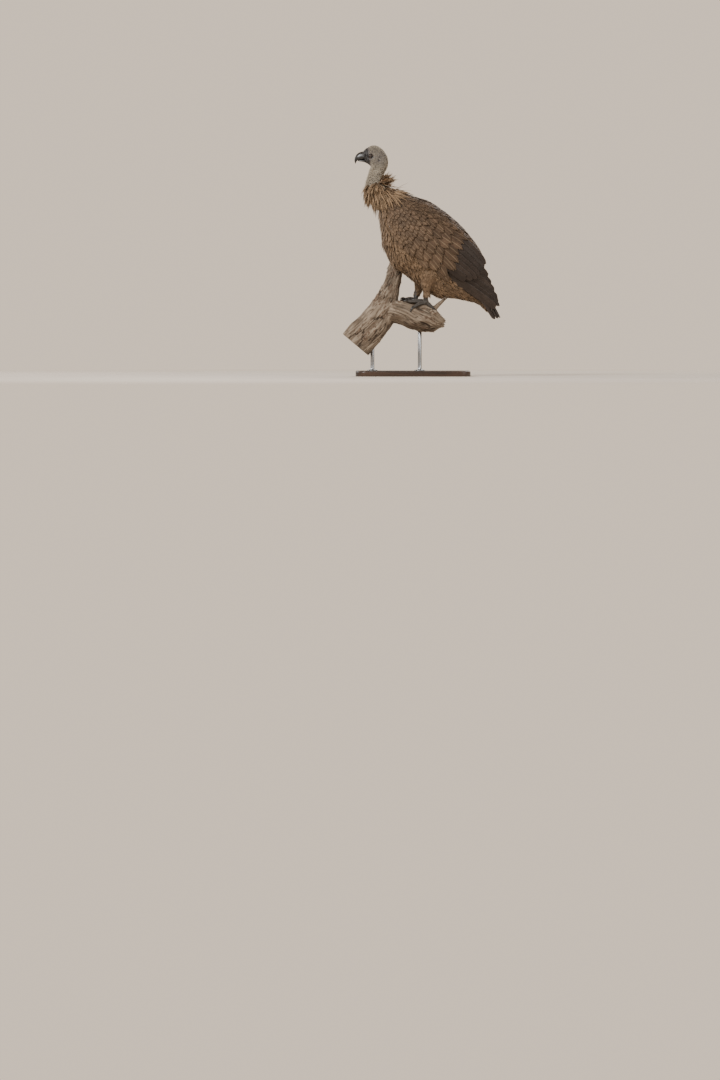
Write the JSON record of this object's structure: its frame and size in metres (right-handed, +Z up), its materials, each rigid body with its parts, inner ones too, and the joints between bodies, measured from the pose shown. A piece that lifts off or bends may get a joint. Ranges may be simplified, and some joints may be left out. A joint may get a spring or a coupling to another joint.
{
  "type": "vulture",
  "caption": "Life-size immature white-backed vulture standing on a cut length of dead branch, held by steel rods on a flat display base.",
  "frame": {"origin": "middle of the display base's underside", "axes": "+Z up, the bird faces -X, its left side faces -Y"},
  "size_m": [0.6476, 0.28, 0.946],
  "materials": {
    "face_skin": "dark bare skin with short whitish down",
    "horn": "satin black horn",
    "eye": "wet dark brown",
    "ruff_feathers": "pale brown pointed feathers",
    "plumage": "dark brown feathers with pale shafts",
    "flight_feathers": "blackish brown flight feathers",
    "leg_skin": "dark grey scaly skin",
    "dead_wood": "weathered grey-brown dead wood",
    "stand_wood": "satin black stained wood",
    "stand_steel": "satin steel"
  },
  "bodies": {
    "root": {"wing_left_coverts": "plumage", "wing_left_secondaries": "flight_feathers", "wing_left_primaries": "flight_feathers", "thigh_left": "plumage", "tarsus_left": "leg_skin", "eye_left": "eye", "toe_left_inner": "leg_skin", "claw_left_inner": "horn", "toe_left_middle": "leg_skin", "claw_left_middle": "horn", "toe_left_outer": "leg_skin", "claw_left_outer": "horn", "toe_left_hind": "leg_skin", "claw_left_hind": "horn", "wing_right_coverts": "plumage", "wing_right_secondaries": "flight_feathers", "wing_right_primaries": "flight_feathers", "thigh_right": "plumage", "tarsus_right": "leg_skin", "eye_right": "eye", "toe_right_inner": "leg_skin", "claw_right_inner": "horn", "toe_right_middle": "leg_skin", "claw_right_middle": "horn", "toe_right_outer": "leg_skin", "claw_right_outer": "horn", "toe_right_hind": "leg_skin", "claw_right_hind": "horn", "head": "face_skin", "bill_upper": "horn", "bill_lower": "horn", "neck": "face_skin", "ruff": "ruff_feathers", "trunk": "plumage", "tail": "flight_feathers", "perch": "dead_wood", "stand_base": "stand_wood", "stand_rod_front": "stand_steel", "stand_rod_rear": "stand_steel"}
  },
  "joints": []
}
